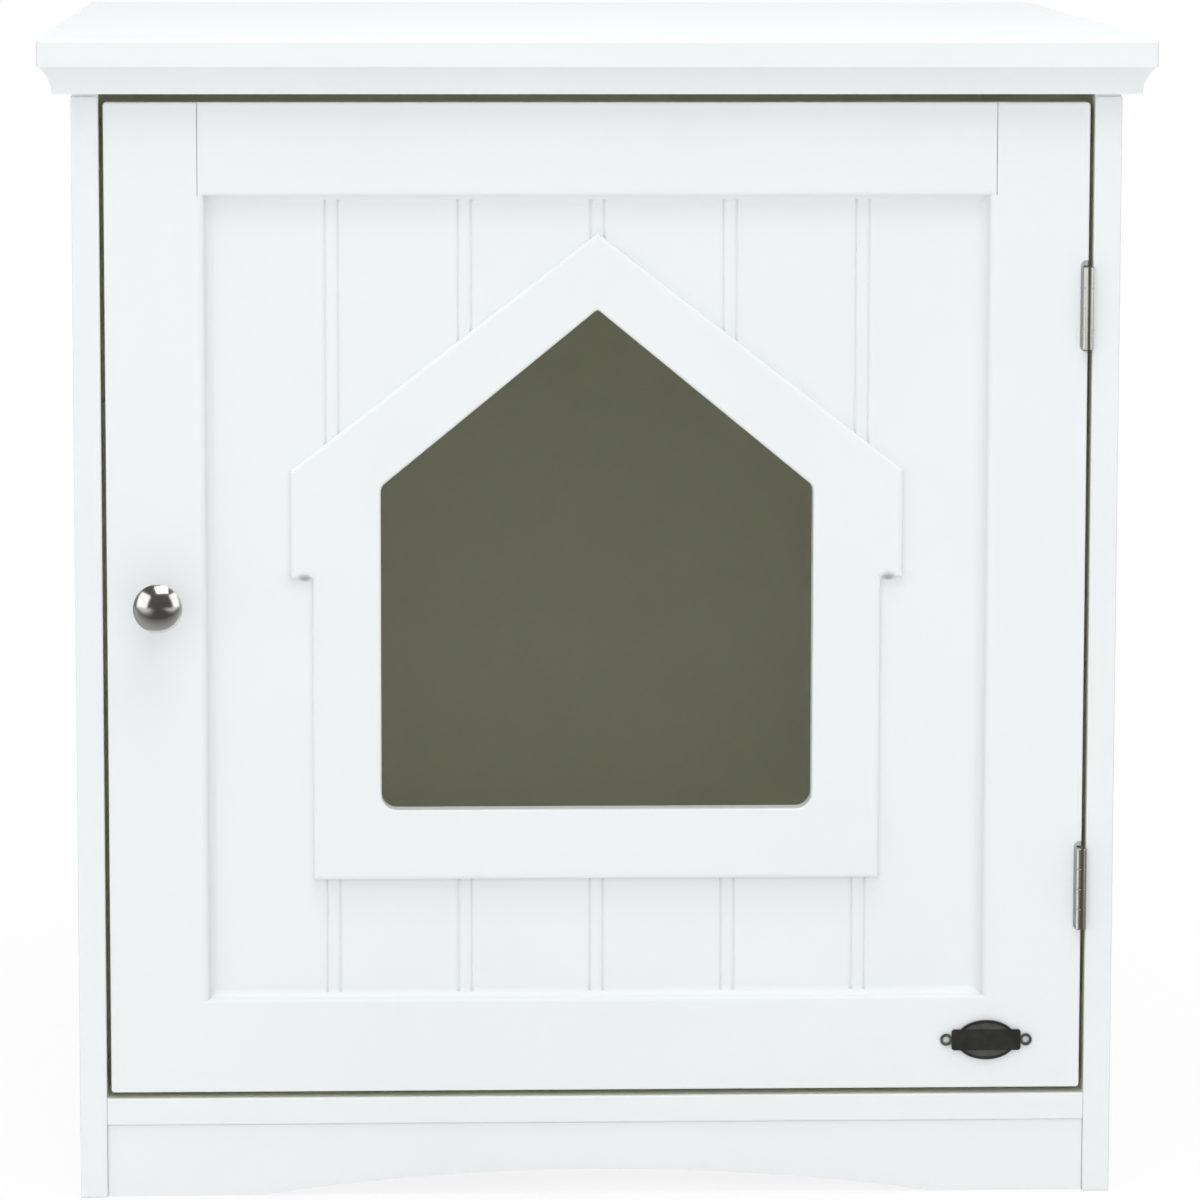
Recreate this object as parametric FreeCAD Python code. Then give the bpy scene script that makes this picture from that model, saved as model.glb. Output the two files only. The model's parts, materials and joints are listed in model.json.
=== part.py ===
import FreeCAD
import Part
import math
import os

# Cat house: a white cabinet with a coved top, an arched plinth and one inset door.
# Millimetres. +X is to the right, the front faces -Y, +Z is up.
# The origin is under the middle of the bounding box, on the floor.

# Carcass
top_width = 490.0  # slab, left to right
top_depth = 510.0  # slab, front to back
total_height = 517.5
overhang = 14.0  # slab past the sides and past their front edges
top_thickness = 12.0
top_round = 1.6  # eased edges of the slab
board_round = 0.8  # eased edges of the other boards
side_thickness = 12.0
base_height = 45.0  # top of the base board over the floor
base_thickness = 12.0
base_setback = 0.3  # base board behind the front edges of the sides
header_depth = 40.0

# Cove moulding under the slab
cornice_height = 12.0
cornice_foot = 7.9  # flat underside, out from the body
cornice_step = 1.05  # top of the cove inside the slab's edge
cornice_lip = 1.0  # upright edge below the cove
cornice_hollow = 1.25  # depth of the cove under its chord
shadow_line_height = 1.6  # fine groove in the sides, under the moulding
shadow_line_depth = 0.7

# Plinth
plinth_thickness = 12.0
plinth_recess = 1.5  # behind the front edges of the sides
plinth_lift = 0.6  # off the floor, so that the sides carry the weight
arch_width = 300.0
arch_rise = 10.8
plinth_block = 18.0  # glue block, across and deep
plinth_block_height = 26.0

# Back panel in its rebates
back_thickness = 5.0
back_inset = 2.5  # panel inside the rear edges of the sides
back_lift = 3.0  # off the floor
back_fit = 0.3
rebate_width = 7.0
back_screws_per_side = 4
back_screws_in_base = 3
back_screw_margin = 60.0
back_screw_length = 14.0

# Door
door_side_gap = 2.0
door_top_gap = 4.0
door_bottom_gap = 2.7
door_setback = 1.0  # door face behind the front edges of the sides
door_thickness = 16.0
door_corner = 1.5
door_edge_round = 0.8
stile_width = 41.0
stile_roundover = 3.2  # rounded inner edge, past the stile's face
rail_roundover = 1.8  # rounded inner edges of the rails
top_rail_width = 41.0
bottom_rail_width = 42.0
top_joint_bevel = 0.6  # fine line between top rail and stiles
bottom_joint_bevel = 0.25  # fine line between bottom rail and stiles
open_joint_width = 0.3  # the upper joints stand open by this
open_joint_depth = 1.5
door_dowel_diameter = 8.0
door_dowel_length = 40.0
door_dowel_inset = 10.0  # from the outer edge of the rail
door_dowel_pitch = 14.0

# Beaded panel
panel_recess = 6.0  # panel face behind the door face
panel_thickness = 6.0
panel_groove = 8.0  # depth of the groove in stiles and rails
panel_fit = 0.5  # room round the panel's edges
panel_slack = 0.1  # room behind the panel in its groove
bead_bays = 6
bead_width = 5.8  # between the two grooves of a bead
bead_groove_width = 1.8
bead_groove_depth = 0.8
bead_end = 2.0  # from a rail to the end of a groove
panel_cove_width = 5.6  # hollow moulding round the panel
panel_cove_height = 2.8

# Cat entrance and its raised trim
opening_sill = 85.0  # over the bottom rail
roof_pitch = 39.35  # degrees
opening_eave_radius = 5.0
opening_foot_radius = 7.0
opening_peak_radius = 1.5
trim_thickness = 3.0
trim_top_margin = 16.6  # trim's peak to the top rail
trim_side_margin = 36.8  # trim's eaves to the stiles
trim_side = 30.4
trim_foot = 31.6
trim_peak = 33.8  # trim's peak over the entrance's peak
eave_overhang = 9.7
eave_rise = 7.0  # trim's eave over the entrance's eave
eave_drop = 40.7  # trim's lower eave under the entrance's eave
eave_notch_radius = 3.4  # round cut in the corner under the eave
eave_notch_rise = 1.6  # top of the round cut over the eave's lower edge
trim_edge_round = 2.0  # soft outer edge
trim_entrance_round = 1.2

# Hinges
barrel_diameter = 4.9
barrel_lap = 0.5  # barrel past the outer faces of the leaves
hinge_length = 36.4
knuckles = 4
knuckle_gap = 0.3
hinge_inset = 90.8  # hinge middle to the end of the door
leaf_thickness = 1.0
leaf_reach = 12.5  # from the pin's axis
pin_diameter = 3.0
pin_fit = 0.05
axis_proud = 1.7  # pin's axis in front of the sides
pocket_margin = 0.5  # leaf's seat in the door past each end of the leaf
relief_side = 1.1  # wider cut in the door's front, past the barrel's side
relief_over = 3.0  # and over the barrel
relief_under = 1.0  # and under it
relief_depth = 3.0
relief_radius = 2.6
leaf_screw_reach = 8.0  # from the pin's axis
leaf_screw_pitch = 20.0
frame_screw_length = 9.0
door_screw_length = 16.0

# Screws
screw_diameter = 2.8
screw_head_diameter = 5.2
countersink = 1.3
pan_head_height = 1.7
screw_point = 3.0
recess_length = 2.6  # cross recess in the head
recess_width = 0.7
recess_depth = 0.8

# Knob
knob_inset = 23.0  # from the free edge of the door
knob_height = 221.0  # over the lower edge of the door
knob_diameter = 22.0
knob_projection = 26.0
knob_dome_angle = 51.0  # degrees, slope of the dome at its rim
knob_rim = 1.6
knob_foot_diameter = 15.0
knob_foot_height = 1.5
knob_neck_diameter = 9.0
knob_neck_height = 4.0
knob_screw_diameter = 4.0
knob_screw_bite = 10.0
knob_screw_head_diameter = 8.0
knob_screw_head_height = 2.4
knob_recess_length = 4.4

# Magnetic catch on the left side
catch_rise = 70.0  # over the knob
catch_depth = 12.0  # off the side panel
catch_length = 34.0
catch_height = 14.0
catch_foot_thickness = 2.0
catch_foot_height = 34.0
catch_screw_pitch = 24.0
catch_screw_length = 10.0
magnet_length = 16.0
magnet_height = 5.0
magnet_width = 8.0
pole_thickness = 1.2
pole_proud = 0.8
catch_gap = 0.3  # poles to the strike plate
strike_thickness = 1.0
strike_width = 12.0
strike_length = 36.0
strike_inset = 0.8  # from the free edge of the door
strike_screw_length = 12.0

# Bare oval plate on the bottom rail
plate_length = 27.0
plate_height = 17.8
plate_thickness = 1.2
plate_rim = 1.2
plate_relief = 0.4  # rim and middle band over the plate
plate_band_length = 31.0
plate_band_height = 9.4
plate_band_radius = 1.2
plate_ear_diameter = 5.4
plate_ear_hole = 3.0
plate_ear_spread = 35.8
plate_inset = 1.1  # plate's middle inside the joint of stile and rail
plate_rise = 1.0  # over the middle of the bottom rail

# Knock-down joints
joint_inset = 60.0  # cam bolts from the front edges and from the back panel
joint_pitch = 32.0  # dowel beside its cam bolt
dowel_diameter = 6.0
dowel_length = 24.0
dowel_bite = 8.0  # part of the dowel in the face of the other board
bolt_thread_diameter = 5.0
bolt_bite = 8.0
bolt_shank_diameter = 3.6
bolt_head_diameter = 5.6
bolt_head_length = 2.0
bolt_fit = 0.3
cam_diameter = 12.0
cam_depth = 9.0
cam_distance = 24.0
cam_recess_length = 6.0
plinth_dowel_spread = 240.0

# Carcass places
body_depth = top_depth - overhang
front_reach = max(knob_projection - door_setback, overhang)
front_y = (front_reach - body_depth) / 2
rear_y = front_y + body_depth
side_x = top_width / 2 - overhang
inner_x = side_x - side_thickness
carcass_top = total_height - top_thickness
head_z = carcass_top - cornice_height
base_bottom = base_height - base_thickness
base_mid = base_bottom + base_thickness / 2
base_front = front_y + base_setback
back_face = rear_y - back_inset - back_thickness
plinth_front = front_y + plinth_recess
plinth_back = plinth_front + plinth_thickness

# Door places
door_x = inner_x - door_side_gap
door_bottom = base_height + door_bottom_gap
door_top = head_z - door_top_gap
door_front = front_y + door_setback
door_back = door_front + door_thickness
frame_x = door_x - stile_width
stile_inner_x = frame_x - stile_roundover
low_rail_top = door_bottom + bottom_rail_width
high_rail_bottom = door_top - top_rail_width
panel_front = door_front + panel_recess
panel_back = panel_front + panel_thickness
trim_front = panel_front - trim_thickness
trim_eave_x = stile_inner_x - trim_side_margin
trim_wall_x = trim_eave_x - eave_overhang
opening_x = trim_wall_x - trim_side
sill_z = low_rail_top + opening_sill
peak_z = high_rail_bottom - trim_top_margin - trim_peak
eave_z = peak_z - opening_x * math.tan(math.radians(roof_pitch))

# Hinge places
barrel_radius = barrel_diameter / 2
leaf_offset = barrel_radius - barrel_lap
axis_x = inner_x - leaf_offset
axis_y = front_y - axis_proud
hinge_heights = {"upper": door_top - hinge_inset, "lower": door_bottom + hinge_inset}

# Knob, catch and plate places
knob_x = knob_inset - door_x
knob_z = door_bottom + knob_height
catch_z = knob_z + catch_rise
strike_back = door_back + strike_thickness
catch_front = strike_back + catch_gap + pole_proud
plate_x = frame_x - plate_inset
plate_z = door_bottom + bottom_rail_width / 2 + plate_rise

RIGHT = FreeCAD.Vector(1, 0, 0)
BACK = FreeCAD.Vector(0, 1, 0)
UP = FreeCAD.Vector(0, 0, 1)


def vec(x, y, z):
    return FreeCAD.Vector(x, y, z)


def block(x0, x1, y0, y1, z0, z1):
    return Part.makeBox(x1 - x0, y1 - y0, z1 - z0, vec(x0, y0, z0))


def rod(start, direction, diameter, length):
    return Part.makeCylinder(diameter / 2, length, start, direction)


def touches(axis, value):
    """Chooses the edges that lie in the plane where one coordinate has this value."""
    def chosen(edge):
        return all(abs(getattr(v.Point, axis) - value) < 1e-4 for v in edge.Vertexes)
    return chosen


def runs_along(direction):
    """Chooses the straight edges that run along this direction."""
    def chosen(edge):
        return abs(edge.tangentAt(edge.FirstParameter).dot(direction)) > 0.999
    return chosen


def borders(other):
    """Chooses the edges that lie against another shape."""
    def chosen(edge):
        return edge.distToShape(other)[0] < 0.001
    return chosen


def eased(shape, radius, *choices):
    """Rounds the edges that every choice picks."""
    edges = [e for e in shape.Edges if all(choice(e) for choice in choices)]
    return shape.makeFillet(radius, edges)


def mirrored(shape):
    return shape.mirror(vec(0, 0, 0), RIGHT)


def rounded_outline(corners, y):
    """Closed wire at depth y through (x, z, radius) corners, each rounded by its radius."""
    ends = []
    count = len(corners)
    for i, (x, z, radius) in enumerate(corners):
        here = vec(x, y, z)
        before = vec(corners[i - 1][0], y, corners[i - 1][1])
        after = vec(corners[(i + 1) % count][0], y, corners[(i + 1) % count][1])
        back_way = (before - here).normalize()
        on_way = (after - here).normalize()
        half = back_way.getAngle(on_way) / 2
        middle_way = (back_way + on_way).normalize()
        reach = radius / math.tan(half)
        bulge = here + middle_way * (radius / math.sin(half) - radius)
        ends.append((here + back_way * reach, bulge, here + on_way * reach, radius))
    edges = []
    for i, (start, bulge, stop, radius) in enumerate(ends):
        if radius > 0:
            edges.append(Part.Arc(start, bulge, stop).toShape())
        edges.append(Part.LineSegment(stop, ends[(i + 1) % count][0]).toShape())
    return Part.Wire(edges)


def slab_of(corners, y, thickness):
    return Part.Face(rounded_outline(corners, y)).extrude(BACK * thickness)


def countersunk_screw(head_face, direction, length):
    """Wood screw whose head lies flush with head_face and whose point lies along direction."""
    head = Part.makeCone(screw_head_diameter / 2, screw_diameter / 2, countersink, head_face, direction)
    return head.fuse(screw_shank(head_face + direction * countersink, direction, length - countersink))


def pan_screw(seat, direction, length):
    """Wood screw whose head stands on seat and whose point lies along direction."""
    head = rod(seat - direction * pan_head_height, direction, screw_head_diameter, pan_head_height)
    return head.fuse(screw_shank(seat, direction, length))


def screw_shank(start, direction, length):
    straight = length - screw_point
    point = Part.makeCone(screw_diameter / 2, 0, screw_point, start + direction * straight, direction)
    return rod(start, direction, screw_diameter, straight).fuse(point)


def driver_recess(head_face, direction, length):
    """Cross recess in a head, cut from head_face along direction."""
    arm = block(-length / 2, length / 2, -recess_width / 2, recess_width / 2, 0, recess_depth)
    cross = arm.copy()
    cross.rotate(vec(0, 0, 0), UP, 90)
    cross = cross.fuse(arm)
    cross.Placement = FreeCAD.Placement(head_face, FreeCAD.Rotation(UP, direction))
    return cross


def group(solids):
    return Part.makeCompound(list(solids))


def without(shape, cutters):
    for cutter in cutters:
        shape = shape.cut(cutter)
    return shape


def each_without(shapes, cutters):
    """Every shape cut by the cutter of the same place in the list."""
    return group(shape.cut(cutter) for shape, cutter in zip(shapes, cutters))


# Knock-down joints: dowels, cam bolts and cam discs, and the holes that they need

def dowel(joint_point, into_end):
    return rod(joint_point - into_end * dowel_bite, into_end, dowel_diameter, dowel_length)


def cam_bolt(joint_point, into_end):
    thread = rod(joint_point - into_end * bolt_bite, into_end, bolt_thread_diameter, bolt_bite)
    shank = rod(joint_point, into_end, bolt_shank_diameter, cam_distance)
    head_start = joint_point + into_end * (cam_distance - bolt_head_length)
    head = rod(head_start, into_end, bolt_head_diameter, bolt_head_length)
    return thread.fuse(shank).fuse(head)


def cam_bolt_bore(joint_point, into_end):
    """Clear way for the bolt's head from the board's end to the cam's middle."""
    return rod(joint_point, into_end, bolt_head_diameter + 2 * bolt_fit, cam_distance + bolt_fit)


def cam_hole(face_centre, into_face):
    """Round hole that a cam disc fills."""
    return rod(face_centre, into_face, cam_diameter, cam_depth)


def cam_recess(face_centre, into_face):
    return driver_recess(face_centre, into_face, cam_recess_length)


joint_ys = (front_y + joint_inset, back_face - joint_inset)
dowel_ys = (front_y + joint_inset + joint_pitch, back_face - joint_inset - joint_pitch)
side_mid_x = inner_x + side_thickness / 2
header_mid = vec(0, front_y + header_depth / 2, head_z + cornice_height / 2)
plinth_mid_y = plinth_front + plinth_thickness / 2

base_bolts = []
base_bores = []
base_cams = []
base_recesses = []
base_dowels = []
top_bolts = []
top_bores = []
top_cams = []
top_recesses = []
top_dowels = []
header_dowels = []
plinth_dowels = []
for side in (-1, 1):
    inward = RIGHT * -side
    for y in joint_ys:
        base_joint = vec(side * inner_x, y, base_mid)
        top_joint = vec(side * side_mid_x, y, carcass_top)
        base_bolts.append(cam_bolt(base_joint, inward))
        base_bores.append(cam_bolt_bore(base_joint, inward))
        base_face = base_joint + inward * cam_distance - UP * base_thickness / 2
        base_cams.append(cam_hole(base_face, UP))
        base_recesses.append(cam_recess(base_face, UP))
        top_bolts.append(cam_bolt(top_joint, -UP))
        top_bores.append(cam_bolt_bore(top_joint, -UP))
        top_face = top_joint - UP * cam_distance + inward * side_thickness / 2
        top_cams.append(cam_hole(top_face, -inward))
        top_recesses.append(cam_recess(top_face, -inward))
    for y in dowel_ys:
        base_dowels.append(dowel(vec(side * inner_x, y, base_mid), inward))
        top_dowels.append(dowel(vec(side * side_mid_x, y, carcass_top), -UP))
    header_dowels.append(dowel(vec(side * inner_x, header_mid.y, header_mid.z), inward))
    plinth_dowels.append(dowel(vec(side * plinth_dowel_spread / 2, plinth_mid_y, base_bottom), -UP))


# Screws that hold the back panel to the sides and to the base board

def back_screw_places():
    column_x = inner_x + rebate_width / 2
    low = base_height + back_screw_margin
    step = (head_z - back_screw_margin - low) / (back_screws_per_side - 1)
    for side in (-1, 1):
        for i in range(back_screws_per_side):
            yield side * column_x, low + i * step
    row = 2 * (inner_x - back_screw_margin)
    for i in range(back_screws_in_base):
        yield row * (i / (back_screws_in_base - 1) - 0.5), base_mid


back_seat = rear_y - back_inset
back_screws = []
back_recesses = []
for x, z in back_screw_places():
    seat = vec(x, back_seat, z)
    back_screws.append(pan_screw(seat, -BACK, back_screw_length))
    back_recesses.append(driver_recess(seat + BACK * pan_head_height, -BACK, recess_length))


# Hinges

def knuckle_span(z_mid, i):
    pitch = hinge_length / knuckles
    low = z_mid - hinge_length / 2 + i * pitch
    return low + knuckle_gap / 2, low + pitch - knuckle_gap / 2


def hinge_leaf(z_mid, side, first):
    """Leaf with every second knuckle. side is +1 on the side panel and -1 on the door.

    The pin is tight in the leaf on the side panel and turns in the leaf on the door.
    """
    low = z_mid - hinge_length / 2
    outer = axis_x + side * leaf_offset
    inner = outer - side * leaf_thickness
    leaf = block(min(outer, inner), max(outer, inner), axis_y, axis_y + leaf_reach, low, low + hinge_length)
    for i in range(knuckles):
        start, stop = knuckle_span(z_mid, i)
        if i % 2 == first:
            leaf = leaf.fuse(rod(vec(axis_x, axis_y, start), UP, barrel_diameter, stop - start))
        else:
            notch = barrel_diameter + 2 * knuckle_gap
            tall = stop - start + 2 * knuckle_gap
            leaf = leaf.cut(rod(vec(axis_x, axis_y, start - knuckle_gap), UP, notch, tall))
    bore_diameter = pin_diameter if side > 0 else pin_diameter + 2 * pin_fit
    bore = rod(vec(axis_x, axis_y, low), UP, bore_diameter, hinge_length)
    return leaf.cut(bore).removeSplitter()


def leaf_screw_places(z_mid, side):
    """Middles of the screw heads in the open face of one leaf."""
    face = axis_x + side * (leaf_offset - leaf_thickness)
    y = axis_y + leaf_screw_reach
    return [vec(face, y, z_mid + offset) for offset in (-leaf_screw_pitch / 2, leaf_screw_pitch / 2)]


def edge_cut(floor_x, low, high, radius, y0, y1):
    """Cut in the door's edge down to floor_x, with two round corners."""
    past_edge = inner_x + door_side_gap
    corners = (
        (floor_x, low, radius),
        (past_edge, low, 0),
        (past_edge, high, 0),
        (floor_x, high, radius),
    )
    return slab_of(corners, y0, y1 - y0)


def hinge_pocket(z_mid):
    """Seat of the leaf right across the door's edge, and a wider relief round the barrel in its front."""
    low = z_mid - hinge_length / 2
    high = z_mid + hinge_length / 2
    back = door_front + 2 * door_thickness
    seat = edge_cut(axis_x - leaf_offset, low - pocket_margin, high + pocket_margin, 0, door_front, back)
    relief_x = axis_x - barrel_radius - relief_side
    before = door_front - relief_depth
    behind = door_front + relief_depth
    relief = edge_cut(relief_x, low - relief_under, high + relief_over, relief_radius, before, behind)
    return [seat, relief]


frame_leaf_screws = []
frame_leaf_recesses = []
door_leaf_screws = []
door_leaf_recesses = []
hinge_leaves = {}
hinge_pins = {}
pockets = []
for name, z_mid in hinge_heights.items():
    side_places = leaf_screw_places(z_mid, 1)
    edge_places = leaf_screw_places(z_mid, -1)
    side_screws = [countersunk_screw(place, RIGHT, frame_screw_length) for place in side_places]
    edge_screws = [countersunk_screw(place, -RIGHT, door_screw_length) for place in edge_places]
    hinge_leaves["hinge_%s_frame_leaf" % name] = without(hinge_leaf(z_mid, 1, 1), side_screws)
    hinge_leaves["hinge_%s_door_leaf" % name] = without(hinge_leaf(z_mid, -1, 0), edge_screws)
    pin_start = vec(axis_x, axis_y, z_mid - hinge_length / 2)
    hinge_pins["hinge_%s_pin" % name] = rod(pin_start, UP, pin_diameter, hinge_length)
    frame_leaf_screws += side_screws
    frame_leaf_recesses += [driver_recess(place, RIGHT, recess_length) for place in side_places]
    door_leaf_screws += edge_screws
    door_leaf_recesses += [driver_recess(place, -RIGHT, recess_length) for place in edge_places]
    pockets += hinge_pocket(z_mid)


# Magnetic catch and its strike plate

def catch_box(depth0, depth1, y0, y1, height):
    """Block that stands off the left side panel, centred on the catch's height."""
    return block(depth0 - inner_x, depth1 - inner_x, y0, y1, catch_z - height / 2, catch_z + height / 2)


stack_height = magnet_height + 2 * pole_thickness
magnet_low = (catch_depth - magnet_width) / 2
magnet_high = magnet_low + magnet_width
catch_back = catch_front + catch_length
catch_mid_y = catch_front + catch_length / 2
catch_screws = []
catch_recesses = []
for offset in (-catch_screw_pitch / 2, catch_screw_pitch / 2):
    place = vec(catch_foot_thickness - inner_x, catch_mid_y, catch_z + offset)
    catch_screws.append(pan_screw(place, -RIGHT, catch_screw_length))
    catch_recesses.append(driver_recess(place + RIGHT * pan_head_height, -RIGHT, recess_length))


def catch_housing():
    foot = catch_box(0, catch_foot_thickness, catch_front, catch_back, catch_foot_height)
    body = catch_box(0, catch_depth, catch_front, catch_back, catch_height)
    body = eased(body, board_round, touches("x", catch_depth - inner_x))
    cavity = catch_box(magnet_low, magnet_high, catch_front, catch_front + magnet_length, stack_height)
    return without(foot.fuse(body).cut(cavity), catch_screws)


def catch_magnet():
    return catch_box(magnet_low, magnet_high, catch_front, catch_front + magnet_length, magnet_height)


def catch_poles():
    front = catch_front - pole_proud
    stack = catch_box(magnet_low, magnet_high, front, catch_front + magnet_length, stack_height)
    gap = catch_box(magnet_low, magnet_high, front, catch_front + magnet_length, magnet_height)
    return group(stack.cut(gap).Solids)


strike_left = strike_inset - door_x
strike_screw_place = vec(strike_left + strike_width / 2, strike_back, catch_z)
strike_screw = countersunk_screw(strike_screw_place, -BACK, strike_screw_length)


def strike_plate():
    low = catch_z - strike_length / 2
    plate = block(strike_left, strike_left + strike_width, door_back, strike_back, low, low + strike_length)
    return plate.cut(strike_screw)


# Knob and its screw

def knob_point(radius, out):
    return vec(knob_x + radius, door_front - out, knob_z)


def knob_profile():
    """Half section of a pull: foot, neck, flare, round rim and a dome in front."""
    slope = math.radians(knob_dome_angle)
    bulge = knob_rim / 2 * math.tan((math.pi / 2 - slope) / 2)
    head = knob_diameter / 2 - bulge
    foot = knob_foot_diameter / 2
    neck = knob_neck_diameter / 2
    ball = head / math.sin(slope)
    rim_front = knob_projection - ball * (1 - math.cos(slope))
    rim_back = rim_front - knob_rim
    diagonal = math.sqrt(0.5)
    flare_r = head - (head - neck) * diagonal
    flare_out = knob_neck_height + (rim_back - knob_neck_height) * diagonal
    dome_out = rim_front + ball * (math.cos(slope / 2) - math.cos(slope))
    dome = knob_point(ball * math.sin(slope / 2), dome_out)
    outline = (knob_point(0, 0), knob_point(foot, 0), knob_point(foot, knob_foot_height),
               knob_point(neck, knob_neck_height))
    edges = [Part.LineSegment(a, b).toShape() for a, b in zip(outline, outline[1:])]
    edges.append(Part.Arc(outline[-1], knob_point(flare_r, flare_out), knob_point(head, rim_back)).toShape())
    rim = knob_point(head + bulge, (rim_back + rim_front) / 2)
    edges.append(Part.Arc(knob_point(head, rim_back), rim, knob_point(head, rim_front)).toShape())
    edges.append(Part.Arc(knob_point(head, rim_front), dome, knob_point(0, knob_projection)).toShape())
    edges.append(Part.LineSegment(knob_point(0, knob_projection), knob_point(0, 0)).toShape())
    return Part.Face(Part.Wire(edges))


knob_screw_face = vec(knob_x, door_back + knob_screw_head_height, knob_z)


def knob_screw():
    seat = vec(knob_x, door_back, knob_z)
    head = rod(seat, BACK, knob_screw_head_diameter, knob_screw_head_height)
    shank = rod(seat, -BACK, knob_screw_diameter, door_thickness + knob_screw_bite)
    return head.fuse(shank)


def knob():
    solid = knob_profile().revolve(vec(knob_x, 0, knob_z), BACK, 360)
    return solid.cut(knob_screw())


# Bare oval plate with a ring ear at each end, glued to the door

def oval(length, height, thickness):
    """Elliptical disc that stands out from the door's face."""
    ellipse = Part.Ellipse(vec(0, 0, 0), length / 2, height / 2)
    disc = Part.Face(Part.Wire([ellipse.toShape()])).extrude(UP * thickness)
    disc.rotate(vec(0, 0, 0), RIGHT, 90)
    disc.translate(vec(plate_x, door_front, plate_z))
    return disc


def name_plate():
    thick = plate_thickness + plate_relief
    plate = oval(plate_length, plate_height, thick)
    hollow = oval(plate_length - 2 * plate_rim, plate_height - 2 * plate_rim, thick)
    plate = plate.cut(hollow).fuse(oval(plate_length, plate_height, plate_thickness))
    half_length = plate_band_length / 2
    half_height = plate_band_height / 2
    corners = [(plate_x + sx * half_length, plate_z + sz * half_height, plate_band_radius)
               for sx, sz in ((-1, -1), (1, -1), (1, 1), (-1, 1))]
    plate = plate.fuse(slab_of(corners, door_front - thick, thick))
    places = [vec(plate_x + side * plate_ear_spread / 2, door_front, plate_z) for side in (-1, 1)]
    for place in places:
        plate = plate.fuse(rod(place, -BACK, plate_ear_diameter, plate_thickness))
    holes = [rod(place, -BACK, plate_ear_hole, thick) for place in places]
    return without(plate, holes).removeSplitter()


# Carcass boards

def top_board():
    board = block(-top_width / 2, top_width / 2, front_y - overhang, rear_y, carcass_top, total_height)
    board = eased(board, top_round, runs_along(UP))
    board = eased(board, top_round, touches("z", total_height))
    return without(board, top_bolts + top_dowels)


def shadow_line(side):
    """Fine groove along the front and the outer face of a side, right under the moulding."""
    low = head_z - shadow_line_height
    x0, x1 = sorted((side * inner_x, side * side_x))
    front = block(x0, x1, front_y, front_y + shadow_line_depth, low, head_z)
    x0, x1 = sorted((side * (side_x - shadow_line_depth), side * side_x))
    return front.fuse(block(x0, x1, front_y, rear_y, low, head_z))


def side_panel(side):
    """Side that stands on the floor, rebated at the back for the back panel."""
    x0, x1 = sorted((side * inner_x, side * side_x))
    panel = block(x0, x1, front_y, rear_y, 0, carcass_top)
    panel = eased(panel, board_round, touches("y", front_y))
    rebate_x0, rebate_x1 = sorted((side * inner_x, side * (inner_x + rebate_width)))
    rebate = block(rebate_x0, rebate_x1, back_face, rear_y, 0, carcass_top)
    panel = panel.cut(rebate).cut(shadow_line(side))
    panel = without(panel, base_bolts + base_dowels + header_dowels)
    panel = without(panel, top_bores + top_cams + top_dowels + back_screws)
    if side > 0:
        return without(panel, frame_leaf_screws)
    return without(panel, catch_screws)


def base_board():
    board = block(-inner_x, inner_x, base_front, back_face, base_bottom, base_height)
    board = eased(board, board_round, touches("y", base_front))
    board = without(board, base_bores + base_cams + base_dowels)
    return without(board, plinth_dowels + back_screws)


def header_rail():
    rail = block(-inner_x, inner_x, front_y, front_y + header_depth, head_z, carcass_top)
    return without(rail, header_dowels)


def plinth_board():
    """Board under the base, with its lower edge cut to a shallow arch."""
    half = arch_width / 2
    foot = plinth_lift
    start = vec(half, plinth_front, foot)
    crown = vec(0, plinth_front, foot + arch_rise)
    stop = vec(-half, plinth_front, foot)
    places = (stop, vec(-inner_x, plinth_front, foot), vec(-inner_x, plinth_front, base_bottom),
              vec(inner_x, plinth_front, base_bottom), vec(inner_x, plinth_front, foot), start)
    edges = [Part.LineSegment(a, b).toShape() for a, b in zip(places, places[1:])]
    edges.append(Part.Arc(start, crown, stop).toShape())
    board = Part.Face(Part.Wire(edges)).extrude(BACK * plinth_thickness)
    for axis, value in (("x", -inner_x), ("x", inner_x), ("z", base_bottom)):
        board = eased(board, board_round, touches("y", plinth_front), touches(axis, value))
    return without(board, plinth_dowels)


def plinth_blocks():
    """Glue blocks in the corners behind the plinth, under the base board."""
    low = base_bottom - plinth_block_height
    right = block(inner_x - plinth_block, inner_x, plinth_back, plinth_back + plinth_block, low, base_bottom)
    return group((mirrored(right), right))


def back_panel():
    half = inner_x + rebate_width - back_fit
    panel = block(-half, half, back_face, back_seat, back_lift, carcass_top)
    return without(panel, back_screws)


# Cove mouldings, mitred at the two front corners

def cove_face(place):
    """Profile of the moulding; place turns an outward reach and a height into a point."""
    lip_z = head_z + cornice_lip
    top_reach = overhang - cornice_step
    rise = carcass_top - lip_z
    run = top_reach - cornice_foot
    chord = math.hypot(run, rise)
    hollow_reach = (top_reach + cornice_foot) / 2 - cornice_hollow * rise / chord
    hollow_z = (carcass_top + lip_z) / 2 + cornice_hollow * run / chord
    places = (place(top_reach, carcass_top), place(0, carcass_top), place(0, head_z),
              place(cornice_foot, head_z), place(cornice_foot, lip_z))
    edges = [Part.LineSegment(a, b).toShape() for a, b in zip(places, places[1:])]
    edges.append(Part.Arc(places[-1], place(hollow_reach, hollow_z), places[0]).toShape())
    return Part.Face(Part.Wire(edges))


def mitre_wedge():
    """Space in front of the body, between the two mitre planes."""
    corners = ((side_x, front_y), (side_x + overhang, front_y - overhang),
               (-side_x - overhang, front_y - overhang), (-side_x, front_y), (side_x, front_y))
    wire = Part.makePolygon([vec(x, y, head_z) for x, y in corners])
    return Part.Face(wire).extrude(UP * cornice_height)


def cornice_front():
    face = cove_face(lambda reach, z: vec(-side_x - overhang, front_y - reach, z))
    return face.extrude(RIGHT * top_width).common(mitre_wedge())


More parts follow.
